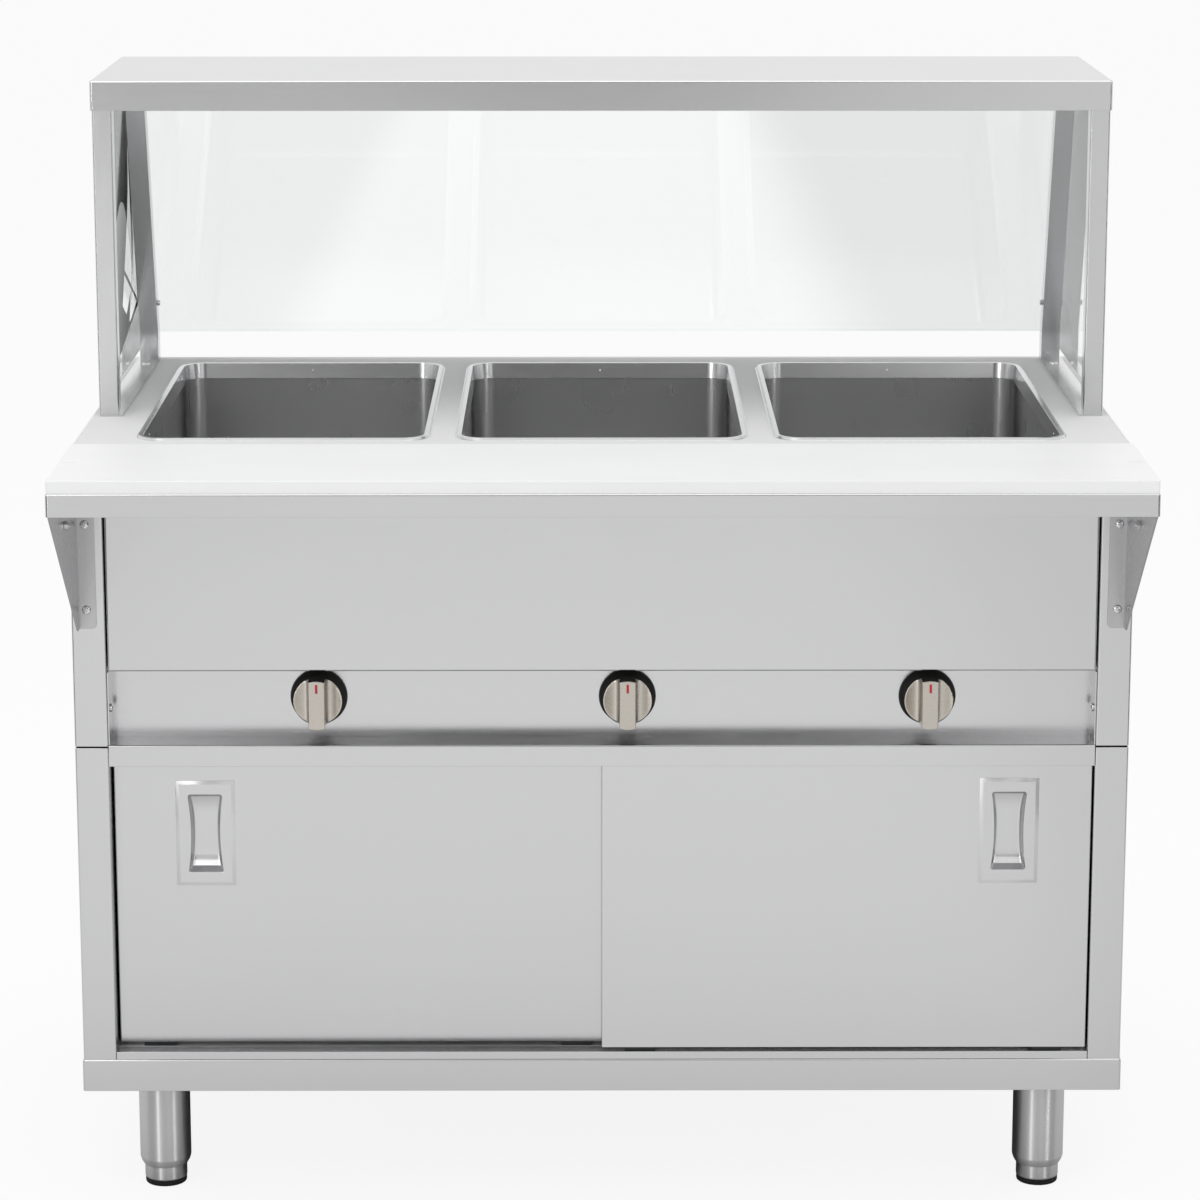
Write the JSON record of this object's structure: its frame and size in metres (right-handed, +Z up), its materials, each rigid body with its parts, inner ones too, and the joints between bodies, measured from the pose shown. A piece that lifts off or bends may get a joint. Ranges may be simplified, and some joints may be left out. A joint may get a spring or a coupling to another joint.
{
  "type": "steam table",
  "caption": "Stainless steel steam table: open wells under a glass serving guard, rotary controls, front cutting-board shelf and sliding-door cabinet on adjustable legs.",
  "frame": {"origin": "on the floor under the middle of the overall outline, which runs from the work shelf's front edge to the end of the supply gland", "axes": "+Z up, +Y to the customer's side, +X to the operator's right"},
  "size_m": [1.14, 0.904, 1.218],
  "materials": {
    "stainless": "fine brushed stainless sheet",
    "satin_metal": "satin",
    "knob_nickel": "satin nickel plate",
    "dark_plastic": "satin black",
    "tube_steel": "drawn tube",
    "fastener_steel": "bright",
    "mineral_wool": "matte fibre",
    "roller_frame": "satin dark grey",
    "roller_nylon": "satin",
    "tip_rubber": "matte",
    "board_white": "satin white",
    "clear_glass": "clear polished"
  },
  "bodies": {
    "table": {"deck": "stainless", "well_liner_left": "stainless", "well_liner_centre": "stainless", "well_liner_right": "stainless", "well_jackets": "stainless", "control_panel": "stainless", "apron_panel": "stainless", "mid_rail": "stainless", "upper_side_left": "stainless", "upper_side_right": "stainless", "upper_back": "stainless", "compartment_floor": "stainless", "lower_side_left": "stainless", "lower_side_right": "stainless", "lower_back": "stainless", "base_shelf": "stainless", "door_track_bottom": "stainless", "door_track_top": "stainless", "legs": "stainless", "front_shelf": "stainless", "shelf_brackets": "stainless", "front_uprights": "stainless", "rear_uprights": "stainless", "foot_strips": "stainless", "overshelf": "stainless", "knob_bezels": "dark_plastic", "heat_switches": "dark_plastic", "terminal_block": "dark_plastic", "supply_gland": "dark_plastic", "heating_elements": "tube_steel", "pan_head_screws": "fastener_steel", "glass_bolts": "fastener_steel", "well_insulation": "mineral_wool", "cutting_board": "board_white", "customer_glass": "clear_glass", "side_glasses": "clear_glass"},
    "door_left": {"door_left": "stainless", "pull_left": "satin_metal", "roller_frames_left": "roller_frame"},
    "roller_left_a": {"roller_left_a": "roller_nylon"},
    "roller_left_b": {"roller_left_b": "roller_nylon"},
    "door_right": {"door_right": "stainless", "pull_right": "satin_metal", "roller_frames_right": "roller_frame"},
    "roller_right_a": {"roller_right_a": "roller_nylon"},
    "roller_right_b": {"roller_right_b": "roller_nylon"},
    "knob_left": {"knob_left": "knob_nickel", "knob_shaft_left": "tube_steel"},
    "knob_centre": {"knob_centre": "knob_nickel", "knob_shaft_centre": "tube_steel"},
    "knob_right": {"knob_right": "knob_nickel", "knob_shaft_right": "tube_steel"},
    "foot_front_left": {"foot_front_left": "satin_metal", "foot_tip_front_left": "tip_rubber"},
    "foot_front_right": {"foot_front_right": "satin_metal", "foot_tip_front_right": "tip_rubber"},
    "foot_rear_left": {"foot_rear_left": "satin_metal", "foot_tip_rear_left": "tip_rubber"},
    "foot_rear_right": {"foot_rear_right": "satin_metal", "foot_tip_rear_right": "tip_rubber"}
  },
  "joints": [
    {"name": "door_left_slide", "type": "slide", "parent": "table", "child": "door_left", "axis": [1, 0, 0], "range_m": [0, 0.516]},
    {"name": "door_right_slide", "type": "slide", "parent": "table", "child": "door_right", "axis": [1, 0, 0], "range_m": [-0.529, 0]},
    {"name": "roller_left_a_turn", "type": "hinge", "parent": "door_left", "child": "roller_left_a", "pos_m": [-0.488, -0.1946, 0.1823], "axis": [0, 1, 0], "continuous": true},
    {"name": "roller_left_b_turn", "type": "hinge", "parent": "door_left", "child": "roller_left_b", "pos_m": [-0.028, -0.1946, 0.1823], "axis": [0, 1, 0], "continuous": true},
    {"name": "roller_right_a_turn", "type": "hinge", "parent": "door_right", "child": "roller_right_a", "pos_m": [0.0419, -0.2156, 0.1823], "axis": [0, 1, 0], "continuous": true},
    {"name": "roller_right_b_turn", "type": "hinge", "parent": "door_right", "child": "roller_right_b", "pos_m": [0.488, -0.2156, 0.1823], "axis": [0, 1, 0], "continuous": true},
    {"name": "knob_left_turn", "type": "hinge", "parent": "table", "child": "knob_left", "pos_m": [-0.307, -0.1885, 0.57], "axis": [0, 1, 0], "range_deg": [0, 300]},
    {"name": "knob_centre_turn", "type": "hinge", "parent": "table", "child": "knob_centre", "pos_m": [0.0275, -0.1885, 0.57], "axis": [0, 1, 0], "range_deg": [0, 300]},
    {"name": "knob_right_turn", "type": "hinge", "parent": "table", "child": "knob_right", "pos_m": [0.353, -0.1885, 0.57], "axis": [0, 1, 0], "range_deg": [0, 300]},
    {"name": "foot_front_left_height", "type": "slide", "parent": "table", "child": "foot_front_left", "axis": [0, 0, 1], "range_m": [-0.02, 0.01]},
    {"name": "foot_front_right_height", "type": "slide", "parent": "table", "child": "foot_front_right", "axis": [0, 0, 1], "range_m": [-0.02, 0.01]},
    {"name": "foot_rear_left_height", "type": "slide", "parent": "table", "child": "foot_rear_left", "axis": [0, 0, 1], "range_m": [-0.02, 0.01]},
    {"name": "foot_rear_right_height", "type": "slide", "parent": "table", "child": "foot_rear_right", "axis": [0, 0, 1], "range_m": [-0.02, 0.01]}
  ],
  "couplings": [
    {"joint": "roller_left_a_turn", "follows": "door_left_slide", "rad_per_m": 83.333},
    {"joint": "roller_left_b_turn", "follows": "door_left_slide", "rad_per_m": 83.333},
    {"joint": "roller_right_a_turn", "follows": "door_right_slide", "rad_per_m": 83.333},
    {"joint": "roller_right_b_turn", "follows": "door_right_slide", "rad_per_m": 83.333}
  ]
}
